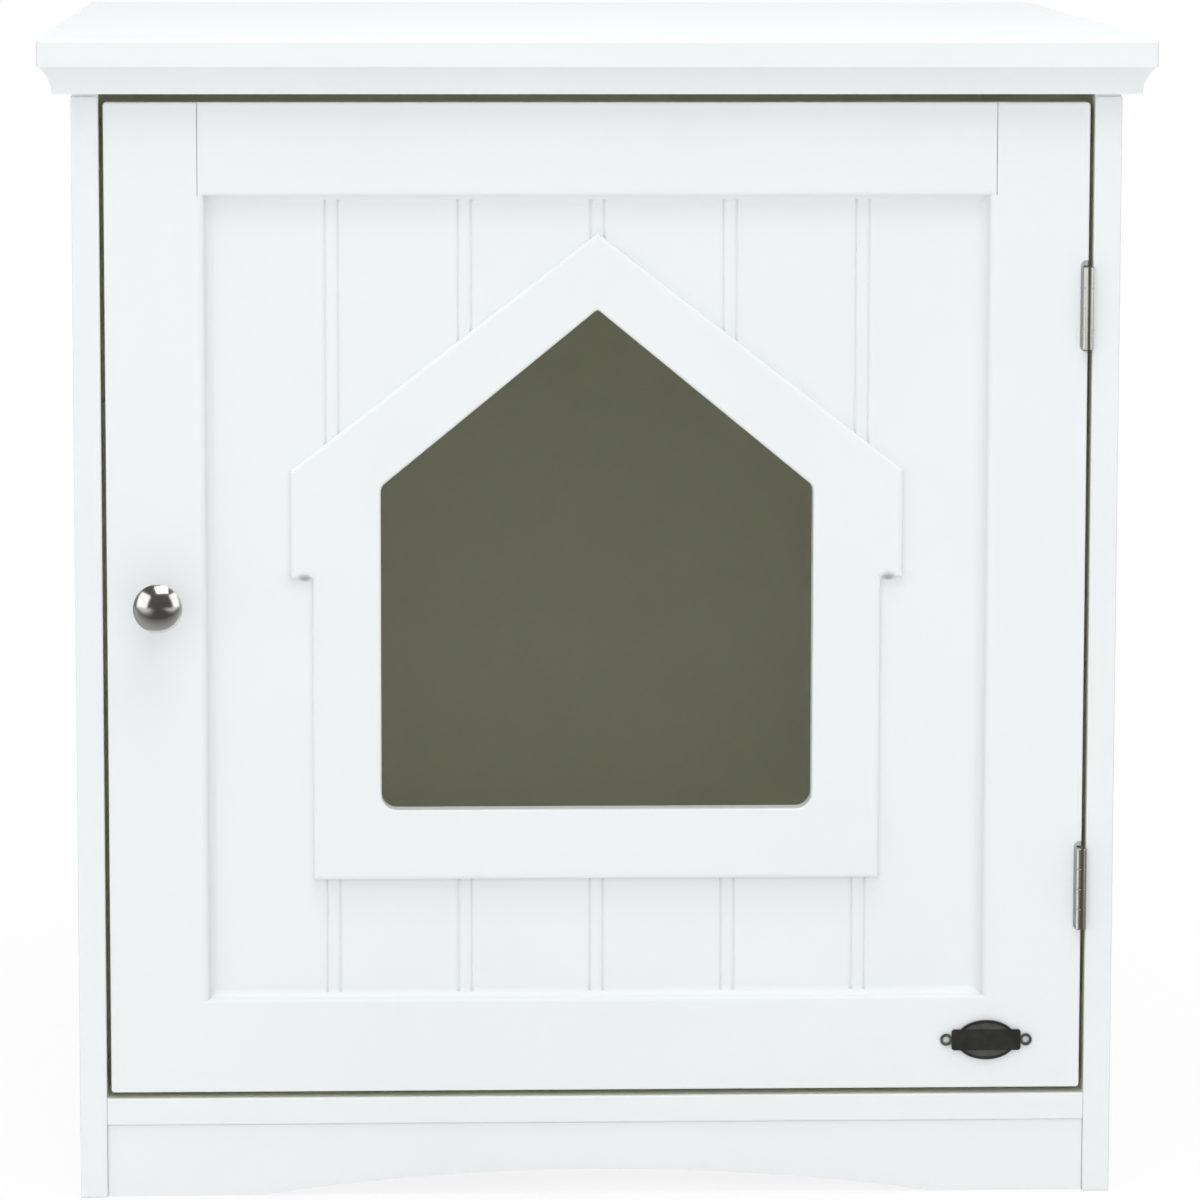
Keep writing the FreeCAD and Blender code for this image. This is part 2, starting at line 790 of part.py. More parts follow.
def cornice_right():
    face = cove_face(lambda reach, z: vec(side_x + reach, front_y - overhang, z))
    return face.extrude(BACK * top_depth).cut(mitre_wedge())


# Door frame

def panel_groove_of(x0, x1, z0, z1):
    return block(x0, x1, panel_front, panel_back + panel_slack, z0, z1)


def door_dowels_of(side):
    """Dowels between one stile and both rails."""
    start_x = side * stile_inner_x - door_dowel_length / 2
    mid_y = door_front + door_thickness / 2
    heights = [door_dowel_inset, door_dowel_inset + door_dowel_pitch]
    heights = [door_bottom + h for h in heights] + [door_top - h for h in heights]
    return [rod(vec(start_x, mid_y, z), RIGHT, door_dowel_diameter, door_dowel_length) for z in heights]


door_dowels = door_dowels_of(-1) + door_dowels_of(1)


def door_outline():
    """Solid door with rounded corners and eased edges, which trims the frame's members."""
    solid = block(-door_x, door_x, door_front, door_back, door_bottom, door_top)
    for x in (-door_x, door_x):
        solid = eased(solid, door_corner, touches("x", x), runs_along(BACK))
    for y in (door_front, door_back):
        solid = eased(solid, door_edge_round, touches("y", y))
    return solid


def stile_blank():
    """Right stile before its pocket and holes, rounded over along the panel."""
    blank = block(stile_inner_x, door_x, door_front, door_back, door_bottom, door_top)
    blank = eased(blank, stile_roundover, touches("y", door_front), touches("x", stile_inner_x))
    groove_low = low_rail_top - panel_groove
    groove_high = high_rail_bottom + panel_groove
    groove = panel_groove_of(stile_inner_x, stile_inner_x + panel_groove, groove_low, groove_high)
    return blank.cut(groove)


def open_joints():
    """Fine clefts where the top rail meets the stiles."""
    half = open_joint_width / 2
    deep = door_front + open_joint_depth
    return [block(x - half, x + half, door_front, deep, high_rail_bottom, door_top) for x in (-frame_x, frame_x)]


def door_stile_right():
    stile = stile_blank().common(door_outline())
    return without(stile, pockets + door_dowels + door_leaf_screws + open_joints())


def door_stile_left():
    stile = mirrored(stile_blank()).common(door_outline())
    return without(stile, door_dowels + [knob_screw(), strike_screw] + open_joints())


def door_rail(z0, z1, groove_z0, groove_z1, bevel):
    """Rail coped over the rounded edges of the two stiles, with its own rounded edge along the groove."""
    rail = block(-frame_x, frame_x, door_front, door_back, z0, z1)
    inner_z = z0 if groove_z0 == z0 else z1
    rail = eased(rail, rail_roundover, touches("y", door_front), touches("z", inner_z))
    ends = [e for e in rail.Edges if touches("y", door_front)(e) and runs_along(UP)(e)]
    rail = rail.makeChamfer(bevel, ends).common(door_outline())
    rail = rail.cut(panel_groove_of(-frame_x, frame_x, groove_z0, groove_z1))
    rail = without(rail, [stile_blank(), mirrored(stile_blank())])
    return without(rail, door_dowels + open_joints())


def door_rail_top():
    z = high_rail_bottom
    return door_rail(z, door_top, z, z + panel_groove, top_joint_bevel)


def door_rail_bottom():
    z = low_rail_top
    return door_rail(door_bottom, z, z - panel_groove, z, bottom_joint_bevel)


# Beaded panel, cat entrance and trim

def entrance():
    """Cutter with the outline of the cat entrance, right through panel and trim."""
    corners = (
        (-opening_x, sill_z, opening_foot_radius),
        (opening_x, sill_z, opening_foot_radius),
        (opening_x, eave_z, opening_eave_radius),
        (0, peak_z, opening_peak_radius),
        (-opening_x, eave_z, opening_eave_radius),
    )
    return slab_of(corners, door_front - door_thickness, 3 * door_thickness)


def bead_grooves():
    """Pairs of V grooves that part the panel into equal bays."""
    bay = 2 * frame_x / bead_bays
    low = low_rail_top + bead_end
    tall = high_rail_bottom - bead_end - low
    half = bead_groove_width / 2
    over = panel_front - panel_cove_height
    for i in range(1, bead_bays):
        for side in (-1, 1):
            x = -frame_x + i * bay + side * bead_width / 2
            corners = (vec(x - half, over, low), vec(x + half, over, low), vec(x + half, panel_front, low),
                       vec(x, panel_front + bead_groove_depth, low), vec(x - half, panel_front, low),
                       vec(x - half, over, low))
            yield Part.Face(Part.makePolygon(corners)).extrude(UP * tall)


def panel_cove(corner, inward, run):
    """Hollow strip along run, from the frame's wall at corner down to the panel's face."""
    bend = 1 - math.sqrt(0.5)
    crest = corner - BACK * panel_cove_height
    middle = corner + inward * (panel_cove_width * bend) - BACK * (panel_cove_height * bend)
    foot = corner + inward * panel_cove_width
    sunk = BACK * (panel_thickness / 2)
    outline = (foot, foot + sunk, corner + sunk, crest)
    edges = [Part.LineSegment(a, b).toShape() for a, b in zip(outline, outline[1:])]
    edges.append(Part.Arc(crest, middle, foot).toShape())
    return Part.Face(Part.Wire(edges)).extrude(run)


def panel_coves():
    left = vec(-stile_inner_x, panel_front, low_rail_top)
    right = vec(stile_inner_x, panel_front, low_rail_top)
    upper = vec(-stile_inner_x, panel_front, high_rail_bottom)
    across = right - left
    upwards = upper - left
    return [panel_cove(left, UP, across), panel_cove(upper, -UP, across),
            panel_cove(left, RIGHT, upwards), panel_cove(right, -RIGHT, upwards)]


def door_panel():
    """Panel with a hollow moulding against the frame, its beads and the entrance."""
    half = stile_inner_x + panel_groove - panel_fit
    low = low_rail_top - panel_groove
    high = high_rail_bottom + panel_groove - panel_fit
    panel = block(-half, half, panel_front, panel_back, low, high)
    panel = panel.multiFuse(panel_coves()).removeSplitter()
    return without(panel, [entrance()] + list(bead_grooves()))


def house_trim():
    """Raised border with the outline of a little house."""
    wall = trim_wall_x
    eave = trim_eave_x
    foot_z = sill_z - trim_foot
    under_z = eave_z - eave_drop
    over_z = eave_z + eave_rise
    right = ((wall, foot_z, 0), (wall, under_z, 0), (eave, under_z, 0), (eave, over_z, 0))
    left = tuple((-x, z, radius) for x, z, radius in reversed(right))
    corners = right + ((0, peak_z + trim_peak, 0),) + left
    trim = slab_of(corners, trim_front, trim_thickness)
    notch_x = wall + eave_notch_radius
    notch_z = under_z + eave_notch_rise - eave_notch_radius
    for x in (-notch_x, notch_x):
        trim = trim.cut(rod(vec(x, trim_front, notch_z), BACK, 2 * eave_notch_radius, trim_thickness))
    trim = eased(trim, trim_edge_round, touches("y", trim_front))
    hole = entrance()
    return eased(trim.cut(hole), trim_entrance_round, touches("y", trim_front), borders(hole))


cam_cuts = [bore.fuse(recess) for bore, recess in
            zip(base_bores + top_bores, base_recesses + top_recesses)]
nodes = {
    "top_board": top_board(),
    "cornice_front": cornice_front(),
    "cornice_left": mirrored(cornice_right()),
    "cornice_right": cornice_right(),
    "header_rail": header_rail(),
    "side_panel_left": side_panel(-1),
    "side_panel_right": side_panel(1),
    "base_board": base_board(),
    "plinth_board": plinth_board(),
    "plinth_blocks": plinth_blocks(),
    "back_panel": back_panel(),
    "back_screws": each_without(back_screws, back_recesses),
    "wood_dowels": group(base_dowels + top_dowels + header_dowels + plinth_dowels),
    "cam_bolts": group(base_bolts + top_bolts),
    "cam_discs": each_without(base_cams + top_cams, cam_cuts),
    "frame_leaf_screws": each_without(frame_leaf_screws, frame_leaf_recesses),
    "catch_housing": catch_housing(),
    "catch_magnet": catch_magnet(),
    "catch_poles": catch_poles(),
    "catch_screws": each_without(catch_screws, catch_recesses),
    "door_stile_left": door_stile_left(),
    "door_stile_right": door_stile_right(),
    "door_rail_top": door_rail_top(),
    "door_rail_bottom": door_rail_bottom(),
    "door_dowels": group(door_dowels),
    "door_panel": door_panel(),
    "house_trim": house_trim(),
    "knob": knob(),
    "knob_screw": knob_screw().cut(driver_recess(knob_screw_face, -BACK, knob_recess_length)),
    "door_leaf_screws": each_without(door_leaf_screws, door_leaf_recesses),
    "strike_plate": strike_plate(),
    "strike_screw": strike_screw.cut(driver_recess(strike_screw_place, -BACK, recess_length)),
    "name_plate": name_plate(),
}
nodes.update(hinge_leaves)
nodes.update(hinge_pins)

os.makedirs("parts", exist_ok=True)
for node, shape in nodes.items():
    shape.exportStep("parts/%s.step" % node)
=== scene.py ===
"""Looks of the cat house: materials, studio light and the photograph's camera.

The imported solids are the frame. Lengths are in metres, +X is right, the front faces -Y, +Z is up.
"""
import json
import math

import bpy
from mathutils import Matrix, Vector

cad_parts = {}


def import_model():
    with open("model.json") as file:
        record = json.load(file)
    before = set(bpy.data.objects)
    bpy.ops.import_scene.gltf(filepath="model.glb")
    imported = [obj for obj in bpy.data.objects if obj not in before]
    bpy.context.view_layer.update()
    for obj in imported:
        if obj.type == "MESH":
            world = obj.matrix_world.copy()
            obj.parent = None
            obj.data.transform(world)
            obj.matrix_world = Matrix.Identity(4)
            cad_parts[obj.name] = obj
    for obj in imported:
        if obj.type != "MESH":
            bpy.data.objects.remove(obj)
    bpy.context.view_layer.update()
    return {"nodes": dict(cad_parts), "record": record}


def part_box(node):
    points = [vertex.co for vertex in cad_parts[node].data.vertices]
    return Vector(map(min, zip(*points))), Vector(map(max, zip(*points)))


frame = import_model()
nodes = frame["nodes"]
scene = bpy.context.scene
scene.view_settings.view_transform = "Standard"

# Places read from the solids
side_low, side_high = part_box("side_panel_left")
trim_low, trim_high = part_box("house_trim")
FRONT_Y = side_low.y
INNER_X = -side_high.x
BASE_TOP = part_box("base_board")[1].z
CARCASS_TOP = side_high.z
BACK_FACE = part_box("back_panel")[0].y
DOOR_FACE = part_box("door_stile_left")[0].y
STILE_CORNERS = (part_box("door_stile_left")[1].x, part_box("door_stile_right")[0].x)
PLATE_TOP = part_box("name_plate")[0].y

# Places inside the solids' boxes
SKIN = 0.0002  # how far a mask reaches past a face
EDGE_BAND = 0.0012  # the carcass boards' front edges, which stay white
DOOR_DEPTH = 0.0128  # from the carcass front to just before the door's back
PANEL_THICKNESS = 0.006
PANEL_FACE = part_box("door_panel")[1].y - PANEL_THICKNESS
GROOVE_DEPTH = 0.0008
GROOVE_FLOOR = PANEL_FACE + GROOVE_DEPTH
EAVE_OVERHANG = 0.0097
NOTCH_RADIUS = 0.0034
EAVE_TIP = trim_high.x - 0.0005
EAVE_UNDER = min(v.co.z for v in nodes["house_trim"].data.vertices if v.co.x > EAVE_TIP)
TRIM_WALL = trim_high.x - EAVE_OVERHANG
NOTCH_X = TRIM_WALL + NOTCH_RADIUS


# Node tools

def new_material(name):
    material = bpy.data.materials.new(name)
    material.use_nodes = True
    tree = material.node_tree
    tree.nodes.clear()
    output = tree.nodes.new("ShaderNodeOutputMaterial")
    shader = tree.nodes.new("ShaderNodeBsdfPrincipled")
    tree.links.new(shader.outputs["BSDF"], output.inputs["Surface"])
    return material, tree, shader


def position_of(tree, scale=(1, 1, 1)):
    """Object coordinates, which are the part's own metres, stretched by a scale."""
    coords = tree.nodes.new("ShaderNodeTexCoord")
    mapping = tree.nodes.new("ShaderNodeMapping")
    mapping.inputs["Scale"].default_value = scale
    tree.links.new(coords.outputs["Object"], mapping.inputs["Vector"])
    return mapping.outputs["Vector"]


def axes_of(tree):
    """The X, Y and Z of a place on the part."""
    split = tree.nodes.new("ShaderNodeSeparateXYZ")
    tree.links.new(position_of(tree), split.inputs["Vector"])
    return split.outputs["X"], split.outputs["Y"], split.outputs["Z"]


def noise(tree, vector, scale, detail=4.0, roughness=0.5):
    node = tree.nodes.new("ShaderNodeTexNoise")
    node.inputs["Scale"].default_value = scale
    node.inputs["Detail"].default_value = detail
    node.inputs["Roughness"].default_value = roughness
    tree.links.new(vector, node.inputs["Vector"])
    return node.outputs["Fac"]


def ramp(tree, value, *stops):
    """Colour ramp through (place, colour) stops."""
    node = tree.nodes.new("ShaderNodeValToRGB")
    elements = node.color_ramp.elements
    while len(elements) < len(stops):
        elements.new(0.5)
    for element, (place, colour) in zip(elements, stops):
        element.position = place
        element.color = (*colour, 1)
    tree.links.new(value, node.inputs["Fac"])
    return node.outputs["Color"]


def to_range(tree, value, low, high, from_low=0.0, from_high=1.0):
    """Value that goes from low to high while the given one goes from from_low to from_high."""
    node = tree.nodes.new("ShaderNodeMapRange")
    node.inputs["From Min"].default_value = from_low
    node.inputs["From Max"].default_value = from_high
    node.inputs["To Min"].default_value = low
    node.inputs["To Max"].default_value = high
    tree.links.new(value, node.inputs["Value"])
    return node.outputs["Result"]


def math_node(tree, operation, *values):
    node = tree.nodes.new("ShaderNodeMath")
    node.operation = operation
    for socket, value in zip(node.inputs, values):
        if isinstance(value, (int, float)):
            socket.default_value = value
        else:
            tree.links.new(value, socket)
    return node.outputs["Value"]


def product(tree, first, *others):
    for other in others:
        first = math_node(tree, "MULTIPLY", first, other)
    return first


def apart_from(tree, value, place):
    """Distance of a coordinate from a place."""
    return math_node(tree, "ABSOLUTE", math_node(tree, "SUBTRACT", value, place))


def mix_colour(tree, factor, first, second):
    node = tree.nodes.new("ShaderNodeMix")
    node.data_type = "RGBA"
    tree.links.new(factor, node.inputs["Factor"])
    for socket, value in ((node.inputs["A"], first), (node.inputs["B"], second)):
        if isinstance(value, tuple):
            socket.default_value = (*value, 1)
        else:
            tree.links.new(value, socket)
    return node.outputs["Result"]


def mix_shader(tree, factor, first, second):
    node = tree.nodes.new("ShaderNodeMixShader")
    tree.links.new(factor, node.inputs["Fac"])
    tree.links.new(first, node.inputs[1])
    tree.links.new(second, node.inputs[2])
    return node.outputs["Shader"]


def bump(tree, shader, height, distance, strength):
    node = tree.nodes.new("ShaderNodeBump")
    node.inputs["Distance"].default_value = distance
    node.inputs["Strength"].default_value = strength
    tree.links.new(height, node.inputs["Height"])
    tree.links.new(node.outputs["Normal"], shader.inputs["Normal"])


# Masks on the lacquer, some of them painted shade

BACK_WARMTH = 0.45  # share of the lining's colour on the door's back
# painted shade where the door's stiles meet its panel and in the panel's bead grooves
CORNER_SHADE_REACH = 0.0055
CORNER_SHADE_SINK = 0.002  # depth under the door's face at which the painted shade is full
# painted shade in the round cuts under the trim's eaves, around them, and along and below the trim's foot
SPOT_WIDTH = 0.0025
SPOT_HEIGHT = 0.0012
SPOT_DROP = 0.0004  # under the eave
SPOT_CORE = 0.45  # these three are in shares of the spot's width and height
SPOT_RIM = 1.45
SPOT_HALO = 5.0
EAVE_SHADE = 0.16
FOOT_LINE_SHADE = 0.24
FOOT_REACH = 0.0026
FOOT_SHADE = 0.10  # weaker share of painted shade that reaches further down
SHADE_REACH = 0.022
SHADE_INNER = 0.008  # where the foot's shade fades, inside and outside the trim's walls
SHADE_OUTER = 0.003
SHADE_TOP = 0.002  # how far it goes on behind the trim


def back_mask(tree):
    """The lining's share on the door's back, and zero before it."""
    _, y, _ = axes_of(tree)
    behind = math_node(tree, "GREATER_THAN", y, FRONT_Y + DOOR_DEPTH)
    return product(tree, behind, BACK_WARMTH)


def corner_shade(tree):
    """Painted shade: one in the two corners where the door's stiles meet its panel, and zero a few
    millimetres away.
    """
    x, y, _ = axes_of(tree)
    left, right = (apart_from(tree, x, corner) for corner in STILE_CORNERS)
    near = to_range(tree, math_node(tree, "MINIMUM", left, right), 1.0, 0.0, 0.0, CORNER_SHADE_REACH)
    sunk = to_range(tree, y, 0.0, 1.0, DOOR_FACE + SKIN, DOOR_FACE + CORNER_SHADE_SINK)
    front = math_node(tree, "LESS_THAN", y, GROOVE_FLOOR)
    return product(tree, near, sunk, front)


def panel_shade(tree):
    """The corners' painted shade, and more painted shade that grows from the panel's face to the bottom of
    its bead grooves.
    """
    _, y, _ = axes_of(tree)
    sunk = to_range(tree, y, 0.0, 1.0, PANEL_FACE + SKIN / 2, GROOVE_FLOOR)
    front = math_node(tree, "LESS_THAN", y, GROOVE_FLOOR + SKIN)
    return math_node(tree, "MAXIMUM", product(tree, sunk, front), corner_shade(tree))


def trim_shade(tree):
    """Painted shade: one in the round cuts under the trim's eaves, less round them and along the trim's
    foot.
    """
    x, y, z = axes_of(tree)
    aside = math_node(tree, "ABSOLUTE", x)
    across = math_node(tree, "DIVIDE", apart_from(tree, aside, NOTCH_X), SPOT_WIDTH)
    along = math_node(tree, "DIVIDE", apart_from(tree, z, EAVE_UNDER - SPOT_DROP), SPOT_HEIGHT)
    squares = math_node(tree, "ADD", product(tree, across, across), product(tree, along, along))
    away = math_node(tree, "SQRT", squares)
    cut = to_range(tree, away, 1.0, 0.0, SPOT_CORE, SPOT_RIM)
    around = to_range(tree, away, EAVE_SHADE, 0.0, 1.0, SPOT_HALO)
    line = to_range(tree, z, 0.0, FOOT_LINE_SHADE, trim_low.z - FOOT_REACH, trim_low.z)
    shade = to_range(tree, z, 0.0, FOOT_SHADE, trim_low.z - SHADE_REACH, trim_low.z)
    within = to_range(tree, aside, 1.0, 0.0, TRIM_WALL - SHADE_INNER, TRIM_WALL + SHADE_OUTER)
    below = math_node(tree, "LESS_THAN", z, trim_low.z + SHADE_TOP)
    foot = product(tree, math_node(tree, "MAXIMUM", line, shade), within, below)
    trim_shading = math_node(tree, "MAXIMUM", math_node(tree, "MAXIMUM", foot, cut), around)
    front = math_node(tree, "LESS_THAN", y, GROOVE_FLOOR + SKIN)
    return product(tree, trim_shading, front)


def inside_mask(tree):
    """One within the cabinet's hollow, a little past its faces, and zero outside."""
    x, y, z = axes_of(tree)
    width = math_node(tree, "LESS_THAN", math_node(tree, "ABSOLUTE", x), INNER_X + SKIN)
    behind = math_node(tree, "GREATER_THAN", y, FRONT_Y + EDGE_BAND)
    before = math_node(tree, "LESS_THAN", y, BACK_FACE + SKIN)
    above = math_node(tree, "GREATER_THAN", z, BASE_TOP - SKIN)
    below = math_node(tree, "LESS_THAN", z, CARCASS_TOP + SKIN)
    return product(tree, width, behind, before, above, below)


# Materials

WHITE = (0.845, 0.875, 0.882)
WHITE_LOW = (0.831, 0.862, 0.868)
LINING = (0.940, 0.948, 0.800)
LINING_LOW = (0.926, 0.934, 0.785)
BOARD = (0.868, 0.872, 0.835)
BOARD_LOW = (0.832, 0.836, 0.795)
# painted shade colour for the door's corners and grooves
CREASE_SHADE = (0.785, 0.81, 0.815)
# deeper painted shade colour for the eave cuts and the trim's foot
DEEP_SHADE = (0.43, 0.445, 0.44)


def lacquer(name, lining=None, crease_shading=None, trim_shading=None):
    """White sprayed lacquer, with a warmer, unlacquered white, and two tones of painted shade by the masks
    for them.
    """
    material, tree, shader = new_material(name)
    place = position_of(tree)
    cloud = noise(tree, place, scale=9.0, detail=3.0)
    colour = ramp(tree, cloud, (0.35, WHITE_LOW), (0.65, WHITE))
    spray = noise(tree, place, scale=900.0, detail=2.0)
    gloss = noise(tree, place, scale=35.0)
    if lining:
        warm = ramp(tree, cloud, (0.3, LINING_LOW), (0.7, LINING))
        colour = mix_colour(tree, lining(tree), colour, warm)
    # painted shade in corners and grooves
    if crease_shading:
        colour = mix_colour(tree, crease_shading(tree), colour, CREASE_SHADE)
    # deeper painted shade under the trim's eaves and foot
    if trim_shading:
        colour = mix_colour(tree, trim_shading(tree), colour, DEEP_SHADE)
    tree.links.new(colour, shader.inputs["Base Color"])
    tree.links.new(to_range(tree, gloss, 0.36, 0.50), shader.inputs["Roughness"])
    shader.inputs["Specular IOR Level"].default_value = 0.35
    bump(tree, shader, spray, distance=0.00003, strength=0.5)
    return material


def hardboard(name):
    """Back panel with the mottling of pressed fibre: the lining's white inside, a paler one outside."""
    material, tree, shader = new_material(name)
    fibre = noise(tree, position_of(tree, (1, 1, 0.4)), scale=260.0, detail=5.0, roughness=0.65)
    cloud = noise(tree, position_of(tree), scale=7.0, detail=3.0)
    shade = product(tree, math_node(tree, "ADD", fibre, cloud), 0.5)
    outer = ramp(tree, shade, (0.35, BOARD_LOW), (0.65, BOARD))
    inner = ramp(tree, shade, (0.35, LINING_LOW), (0.65, LINING))
    tree.links.new(mix_colour(tree, inside_mask(tree), outer, inner), shader.inputs["Base Color"])
    tree.links.new(to_range(tree, fibre, 0.55, 0.72), shader.inputs["Roughness"])
    bump(tree, shader, fibre, distance=0.00008, strength=0.5)
    return material


def bare_beech(name):
    """Dowels and glue blocks: straight-grained bare wood."""
    material, tree, shader = new_material(name)
    grain = noise(tree, position_of(tree, (14, 90, 90)), scale=8.0, detail=6.0, roughness=0.6)
    pores = noise(tree, position_of(tree, (60, 700, 700)), scale=6.0, detail=3.0)
    colour = ramp(tree, grain, (0.3, (0.50, 0.33, 0.18)), (0.7, (0.68, 0.50, 0.31)))
    tree.links.new(colour, shader.inputs["Base Color"])
    tree.links.new(to_range(tree, pores, 0.55, 0.75), shader.inputs["Roughness"])
    bump(tree, shader, pores, distance=0.0001, strength=0.6)
    return material


def metal(name, dark, light, roughness, scale, stretch=(1, 1, 1), depth=0.00002):
    """Metal whose colour and gloss vary, the gloss with a stretched noise."""
    material, tree, shader = new_material(name)
    streak = noise(tree, position_of(tree, stretch), scale, detail=5.0, roughness=0.6)
    smudge = noise(tree, position_of(tree), scale=60.0, detail=3.0)
    tree.links.new(ramp(tree, smudge, (0.3, dark), (0.7, light)), shader.inputs["Base Color"])
    tree.links.new(to_range(tree, streak, *roughness), shader.inputs["Roughness"])
    shader.inputs["Metallic"].default_value = 1.0
    bump(tree, shader, streak, depth, strength=0.4)
    return material


def dull(name, dark, light, roughness, scale):
    """Plastic or ferrite with a fine grain."""
    material, tree, shader = new_material(name)
    grain = noise(tree, position_of(tree), scale)
    tree.links.new(ramp(tree, grain, (0.3, dark), (0.7, light)), shader.inputs["Base Color"])
    tree.links.new(to_range(tree, grain, *roughness), shader.inputs["Roughness"])
    bump(tree, shader, grain, distance=0.00004, strength=0.4)
    return material


def pewter(name):
    """Blackened plate: the raised rim and band dark, the ground between them worn lighter."""
    material, tree, shader = new_material(name)
    _, y, _ = axes_of(tree)
    grain = noise(tree, position_of(tree), scale=420.0, detail=5.0, roughness=0.6)
    wear = noise(tree, position_of(tree), scale=130.0, detail=3.0)
    ground = ramp(tree, wear, (0.3, (0.18, 0.18, 0.173)), (0.7, (0.30, 0.30, 0.288)))
    relief = ramp(tree, wear, (0.3, (0.07, 0.07, 0.068)), (0.7, (0.12, 0.12, 0.115)))
    raised = math_node(tree, "LESS_THAN", y, PLATE_TOP + SKIN)
    tree.links.new(mix_colour(tree, raised, ground, relief), shader.inputs["Base Color"])
    tree.links.new(to_range(tree, grain, 0.38, 0.56), shader.inputs["Roughness"])
    shader.inputs["Metallic"].default_value = 0.85
    bump(tree, shader, grain, distance=0.00003, strength=0.5)
    return material


finishes = {
    "white_lacquer": lacquer("white_lacquer"),
    "back_board": hardboard("back_board"),
    "raw_wood": bare_beech("raw_wood"),
    "zinc_steel": metal("zinc_steel", dark=(0.52, 0.53, 0.55), light=(0.66, 0.67, 0.68),
                        roughness=(0.28, 0.42), scale=500.0),
    "hinge_nickel": metal("hinge_nickel", dark=(0.82, 0.80, 0.75), light=(0.90, 0.88, 0.83),
                          roughness=(0.13, 0.21), scale=300.0, stretch=(1, 1, 12)),
    "knob_chrome": metal("knob_chrome", dark=(0.80, 0.80, 0.79), light=(0.88, 0.88, 0.87),
                         roughness=(0.14, 0.20), scale=120.0, depth=0.000002),
    "plate_metal": pewter("plate_metal"),
    "catch_plastic": dull("catch_plastic", dark=(0.72, 0.73, 0.72), light=(0.78, 0.79, 0.78),
                          roughness=(0.42, 0.55), scale=700.0),
    "magnet": dull("magnet", dark=(0.030, 0.030, 0.032), light=(0.050, 0.050, 0.052),
                   roughness=(0.55, 0.75), scale=500.0),
}

# Lacquered pieces whose finish isn't the same all over, the door's pieces with painted shade
lined = lacquer("white_lacquer_lined", inside_mask)
backed = lacquer("white_lacquer_backed", back_mask, corner_shade)
beaded = lacquer("white_lacquer_beaded", back_mask, panel_shade, trim_shade)
own_finishes = {"door_panel": beaded}
for name in ("side_panel_left", "side_panel_right", "base_board", "top_board", "header_rail"):
    own_finishes[name] = lined
for name in ("door_stile_left", "door_stile_right", "door_rail_top", "door_rail_bottom"):
    own_finishes[name] = backed

for entry in frame["record"]["subparts"]:
    slots = nodes[entry["node"]].data.materials
    slots.clear()
    slots.append(own_finishes.get(entry["node"], finishes[entry["material_slot"]]))


# Studio: floor, world and softboxes

ROOM = {"Y": 1.77, "Z": 1.32}  # strength of the room's light along each axis
STUDIO = (0.055, 0.052, 0.046)  # the dark studio in front, seen only in the metal
FLOOR_REACH = 30.0
FLOOR_WHITE = 0.88  # share of pure white that the camera sees under the part
WHITE_START = 0.30  # distances from the middle between which it grows to all
WHITE_FULL = 0.80
SIDE_SOURCE = 1.0  # point behind the front from which the floor's sides are judged
SIDE_SLOPES = (0.22, 0.58)  # sideways over ahead, where the floor starts and ends brightening
SIDE_BRIGHT = 0.65
SIDE_FAR = 1.0  # before the front, fully bright from here on
SIDE_NEAR = 0.3
DARK_FAR = 0.35  # before the front, fully dark from here on
DARK_NEAR = 0.05
DARK_FOOT = 0.7  # darkness that is left at the part's foot
MIDDLE = (0, FRONT_Y, 0.27)


def new_object(name, data):
    item = bpy.data.objects.new(name, data)
    scene.collection.objects.link(item)
    return item


def floor():
    """Pale floor that takes the part's shadow and fades into white further out.

    In reflections it darkens towards the front, where the studio is dark, but not out to the sides.
    """
    mesh = bpy.data.meshes.new("floor")
    corners = [(FLOOR_REACH * x, FLOOR_REACH * y, 0) for x, y in ((-1, -1), (1, -1), (1, 1), (-1, 1))]
    mesh.from_pydata(corners, [], [(0, 1, 2, 3)])
    item = new_object("floor", mesh)
    material, tree, shader = new_material("floor")
    light_path = tree.nodes.new("ShaderNodeLightPath")
    place = position_of(tree)
    x, y, _ = axes_of(tree)
    tone = noise(tree, place, scale=4.0, detail=2.0)
    pale = ramp(tree, tone, (0.3, (0.93, 0.93, 0.93)), (0.7, (0.95, 0.95, 0.95)))

    # Darkness in reflections
    ahead = math_node(tree, "SUBTRACT", FRONT_Y + SIDE_SOURCE, y)
    aside = math_node(tree, "DIVIDE", math_node(tree, "ABSOLUTE", x), ahead)
    sideways = to_range(tree, aside, 0.0, SIDE_BRIGHT, *SIDE_SLOPES)
    distant = to_range(tree, y, 1.0, 0.0, FRONT_Y - SIDE_FAR, FRONT_Y - SIDE_NEAR)
    bright = product(tree, sideways, distant)
    away = to_range(tree, y, 1.0, DARK_FOOT, FRONT_Y - DARK_FAR, FRONT_Y - DARK_NEAR)
    dark = product(tree, away, math_node(tree, "SUBTRACT", 1.0, bright), light_path.outputs["Is Glossy Ray"])
    tree.links.new(mix_colour(tree, dark, pale, STUDIO), shader.inputs["Base Color"])
    shader.inputs["Roughness"].default_value = 0.9
    shader.inputs["Specular IOR Level"].default_value = 0.1

    # White to the camera, fully so away from the part
    glow = tree.nodes.new("ShaderNodeEmission")
    glow.inputs["Strength"].default_value = 1.0
    length = tree.nodes.new("ShaderNodeVectorMath")
    length.operation = "LENGTH"
    tree.links.new(place, length.inputs[0])
    white = to_range(tree, length.outputs["Value"], FLOOR_WHITE, 1.0, WHITE_START, WHITE_FULL)
    seen = product(tree, white, light_path.outputs["Is Camera Ray"])
    surface = mix_shader(tree, seen, shader.outputs["BSDF"], glow.outputs["Emission"])
    tree.links.new(surface, tree.nodes["Material Output"].inputs["Surface"])
    mesh.materials.append(material)
    return item


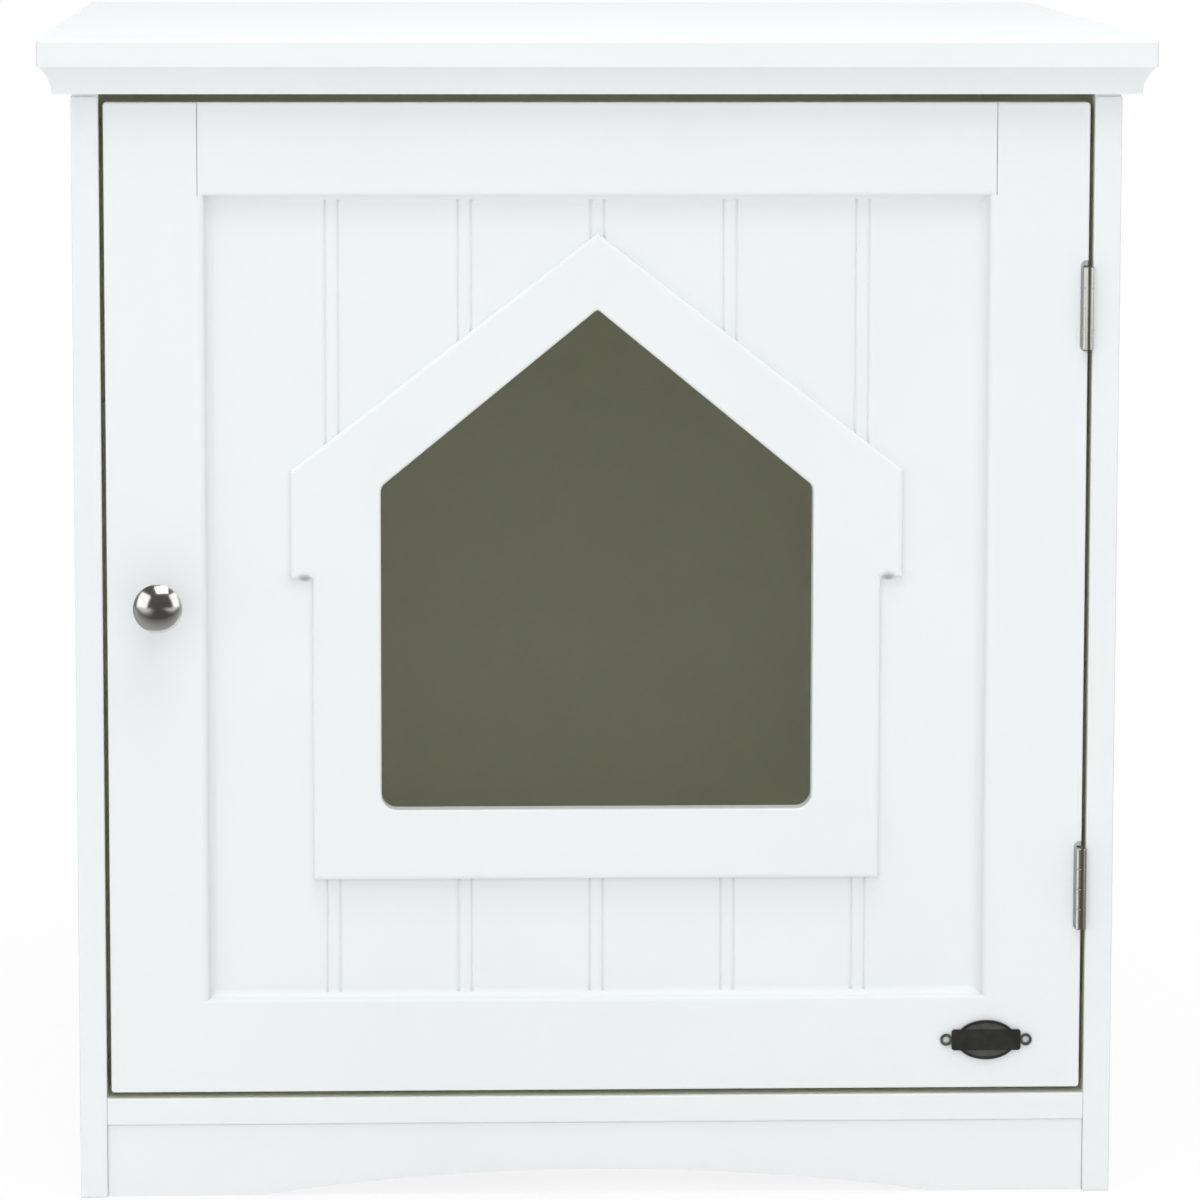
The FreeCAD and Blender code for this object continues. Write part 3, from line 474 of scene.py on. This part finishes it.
def world():
    """White to the camera and behind the part in reflections, which see a dark studio in front of it.

    The room that lights the part has its own strength along each axis.
    """
    sky = bpy.data.worlds.new("studio")
    scene.world = sky
    sky.use_nodes = True
    tree = sky.node_tree
    tree.nodes.clear()
    output = tree.nodes.new("ShaderNodeOutputWorld")
    light_path = tree.nodes.new("ShaderNodeLightPath")
    coords = tree.nodes.new("ShaderNodeTexCoord")
    split = tree.nodes.new("ShaderNodeSeparateXYZ")
    tree.links.new(coords.outputs["Generated"], split.inputs["Vector"])
    level = 0.0
    for axis, strength in ROOM.items():
        share = math_node(tree, "POWER", split.outputs[axis], 2.0)
        level = math_node(tree, "ADD", product(tree, share, strength), level)
    room = tree.nodes.new("ShaderNodeBackground")
    tree.links.new(level, room.inputs["Strength"])
    mirrored = tree.nodes.new("ShaderNodeBackground")
    depth = to_range(tree, split.outputs["Y"], 0.0, 1.0, -0.3, 0.5)
    around = ramp(tree, depth, (0.0, STUDIO), (0.45, STUDIO), (1.0, (1.0, 1.0, 1.0)))
    tree.links.new(around, mirrored.inputs["Color"])
    white = tree.nodes.new("ShaderNodeBackground")
    white.inputs["Color"].default_value = (1, 1, 1, 1)
    glossy = light_path.outputs["Is Glossy Ray"]
    unseen = mix_shader(tree, glossy, room.outputs["Background"], mirrored.outputs["Background"])
    through = light_path.outputs["Is Transmission Ray"]
    seen = math_node(tree, "MAXIMUM", light_path.outputs["Is Camera Ray"], through)
    surface = mix_shader(tree, seen, unseen, white.outputs["Background"])
    tree.links.new(surface, output.inputs["Surface"])


def softbox(name, place, width, height, power, lights=True, mirrored=True):
    """Rectangular lamp aimed at the middle of the front.

    One that doesn't light only shows as a card in the metal, and one that isn't mirrored only lights.
    """
    lamp = bpy.data.lights.new(name, "AREA")
    lamp.shape = "RECTANGLE"
    lamp.size = width
    lamp.size_y = height
    lamp.energy = power
    item = new_object(name, lamp)
    item.location = place
    item.rotation_euler = (Vector(MIDDLE) - Vector(place)).to_track_quat("-Z", "Y").to_euler()
    item.visible_diffuse = lights
    item.visible_glossy = mirrored
    return item


floor()
world()
softbox("card_left", (-1.95, -1.2, 1.12), width=1.85, height=1.85, power=12, lights=False)
softbox("card_right", (1.91, -0.88, 1.12), width=1.3, height=1.85, power=8.5, lights=False)
softbox("lamp_left", (-1.9, -0.95, 0.42), width=1.2, height=0.6, power=3, mirrored=False)
softbox("softbox_top", (0.12, -0.64, 1.6), width=0.98, height=0.75, power=5.6)


# Camera, fitted to the photograph's edges

CAMERA_PLACE = (-0.1018, FRONT_Y - 2.6276, 0.6172)
CAMERA_TURN = (-2.243, 7.535, 0.103)  # yaw, pitch down and roll, in degrees
FOCAL_LENGTH = 5981.7  # in the photograph's pixels
PHOTO_WIDTH = 1200
SENSOR_WIDTH = 36.0


def photo_camera():
    yaw, pitch, roll = (math.radians(angle) for angle in CAMERA_TURN)
    right = Vector((math.cos(yaw), math.sin(yaw), 0))
    level = math.cos(pitch)
    forward = Vector((-math.sin(yaw) * level, math.cos(yaw) * level, -math.sin(pitch)))
    up = right.cross(forward)
    turned_right = right * math.cos(roll) + up * math.sin(roll)
    turned_up = up * math.cos(roll) - right * math.sin(roll)
    lens = bpy.data.cameras.new("photo_camera")
    lens.sensor_fit = "HORIZONTAL"
    lens.sensor_width = SENSOR_WIDTH
    lens.lens = SENSOR_WIDTH * FOCAL_LENGTH / PHOTO_WIDTH
    lens.clip_end = 100
    camera = new_object("photo_camera", lens)
    axes = Matrix((turned_right, turned_up, -forward)).transposed()
    camera.matrix_world = Matrix.Translation(Vector(CAMERA_PLACE)) @ axes.to_4x4()
    scene.camera = camera


photo_camera()
